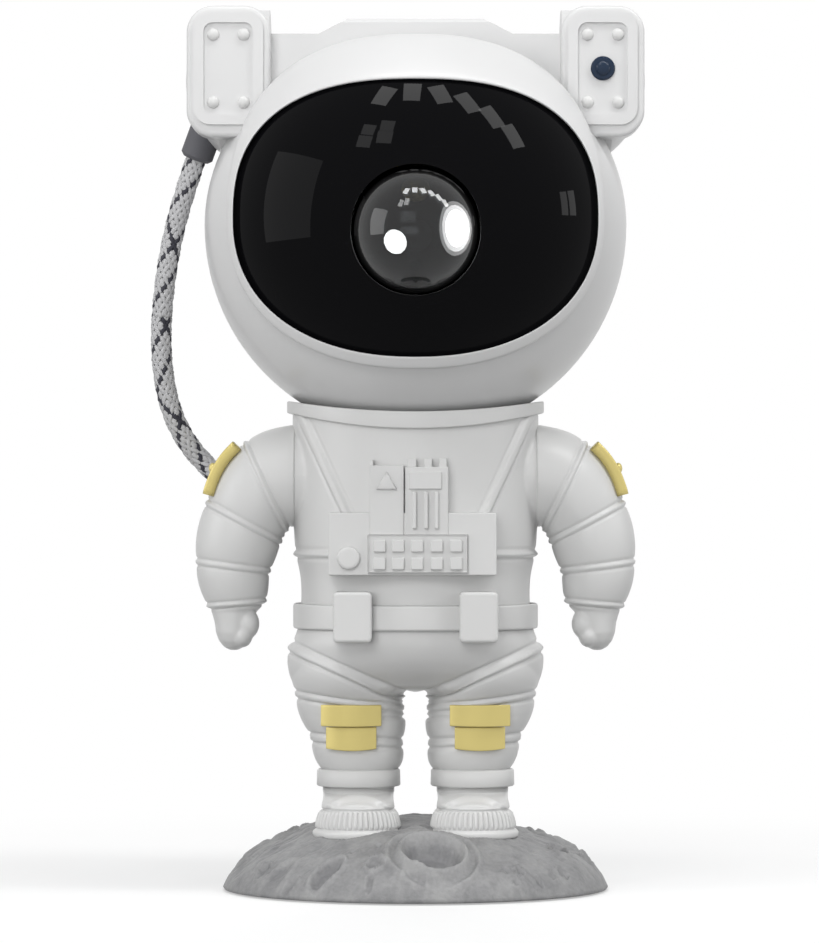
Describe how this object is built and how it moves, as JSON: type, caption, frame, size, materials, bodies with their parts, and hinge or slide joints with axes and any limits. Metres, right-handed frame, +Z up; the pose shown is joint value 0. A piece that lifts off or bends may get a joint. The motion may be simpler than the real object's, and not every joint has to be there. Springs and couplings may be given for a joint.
{
  "type": "planetarium projector",
  "caption": "Tabletop star and nebula night projector shaped as an astronaut, with a swivelling domed-lens head on a moon-rock base",
  "frame": {"origin": "middle of the base's underside", "axes": "+Z up, the figure faces -Y, left is -X"},
  "size_m": [0.1302, 0.1208, 0.2292],
  "materials": {
    "moon_rock": "stone-textured matte",
    "suit_white": "satin",
    "helmet_white": "satin gloss",
    "gold_trim": "metallic paint",
    "visor_black": "high gloss",
    "lens_clear": "polished",
    "inner_black": "matte",
    "dark_grey": "satin",
    "rubber_black": "matte",
    "steel": "brushed",
    "magnet_nickel": "plated",
    "brass": "turned",
    "aluminium": "anodised",
    "board_green": "solder mask",
    "gear_white": "natural",
    "hose_braid": "braided sleeve",
    "hose_gland": "matte",
    "ir_blue": "gloss"
  },
  "bodies": {
    "body": {"moon_base": "moon_rock", "base_plate": "dark_grey", "base_pad": "rubber_black", "base_screws": "steel", "left_boot": "suit_white", "right_boot": "suit_white", "body_front_shell": "suit_white", "body_rear_shell": "suit_white", "body_screws": "steel", "neck_collar": "suit_white", "neck_socket": "dark_grey", "neck_magnet": "magnet_nickel", "waist_belt": "suit_white", "left_belt_pouch": "suit_white", "right_belt_pouch": "suit_white", "chest_panel": "suit_white", "chest_display": "suit_white", "chest_rods": "suit_white", "chest_key_strip": "suit_white", "chest_keys": "suit_white", "chest_knob": "suit_white", "knee_patches": "gold_trim", "hose_lower": "hose_braid", "hose_lower_gland": "hose_gland", "backpack_shell": "suit_white", "backpack_cover": "suit_white", "control_board": "board_green", "power_socket": "steel"},
    "neck_ring": {"neck_glide_ring": "dark_grey"},
    "left_arm_body": {"left_arm": "suit_white", "left_arm_pivot": "steel", "left_shoulder_patch": "gold_trim"},
    "right_arm_body": {"right_arm": "suit_white", "right_arm_pivot": "steel", "right_shoulder_patch": "gold_trim"},
    "star_button_body": {"star_button": "dark_grey"},
    "nebula_button_body": {"nebula_button": "dark_grey"},
    "wheel": {"nebula_wheel": "lens_clear"},
    "pinion": {"motor_pinion": "gear_white"},
    "head": {"helmet_front_shell": "helmet_white", "helmet_rear_shell": "helmet_white", "helmet_screws": "steel", "visor_frame": "helmet_white", "visor": "visor_black", "lens_dome": "lens_clear", "left_ear_box": "helmet_white", "right_ear_box": "helmet_white", "left_ear_cup": "helmet_white", "right_ear_cup": "helmet_white", "ear_rivets": "suit_white", "ir_receiver": "ir_blue", "top_bridge": "helmet_white", "optics_frame": "inner_black", "drive_motor": "steel", "led_board": "board_green", "heat_sink": "aluminium", "laser_module": "brass", "head_steel_plate": "steel", "hose_upper_gland": "hose_gland", "hose_upper": "hose_braid"}
  },
  "joints": [
    {"name": "head_swivel", "type": "hinge", "parent": "body", "child": "neck_ring", "pos_m": [0, 0, 0.1724], "axis": [0, 0, 1], "range_deg": [-35, 35], "deforming": ["hose_lower", "hose_upper"]},
    {"name": "head_tilt", "type": "hinge", "parent": "neck_ring", "child": "head", "pos_m": [0, 0, 0.1724], "axis": [-1, 0, 0], "range_deg": [-8, 40], "deforming": ["hose_lower", "hose_upper"]},
    {"name": "left_arm_swing", "type": "hinge", "parent": "body", "child": "left_arm_body", "pos_m": [0, 0, 0.1075], "axis": [-1, 0, 0], "range_deg": [-40, 120]},
    {"name": "right_arm_swing", "type": "hinge", "parent": "body", "child": "right_arm_body", "pos_m": [0, 0, 0.1075], "axis": [-1, 0, 0], "range_deg": [-40, 120]},
    {"name": "star_button_press", "type": "slide", "parent": "body", "child": "star_button_body", "axis": [0, -1, 0], "range_m": [0, 0.001], "stiffness_N_per_m": 800},
    {"name": "nebula_button_press", "type": "slide", "parent": "body", "child": "nebula_button_body", "axis": [0, -1, 0], "range_m": [0, 0.001], "stiffness_N_per_m": 800},
    {"name": "wheel_spin", "type": "hinge", "parent": "head", "child": "wheel", "pos_m": [0, -0.02, 0.1604], "axis": [0, -1, 0], "continuous": true},
    {"name": "pinion_spin", "type": "hinge", "parent": "head", "child": "pinion", "pos_m": [0.01879, -0.02, 0.15356], "axis": [0, -1, 0], "continuous": true}
  ],
  "couplings": [
    {"joint": "pinion_spin", "follows": "wheel_spin", "ratio": -4}
  ]
}
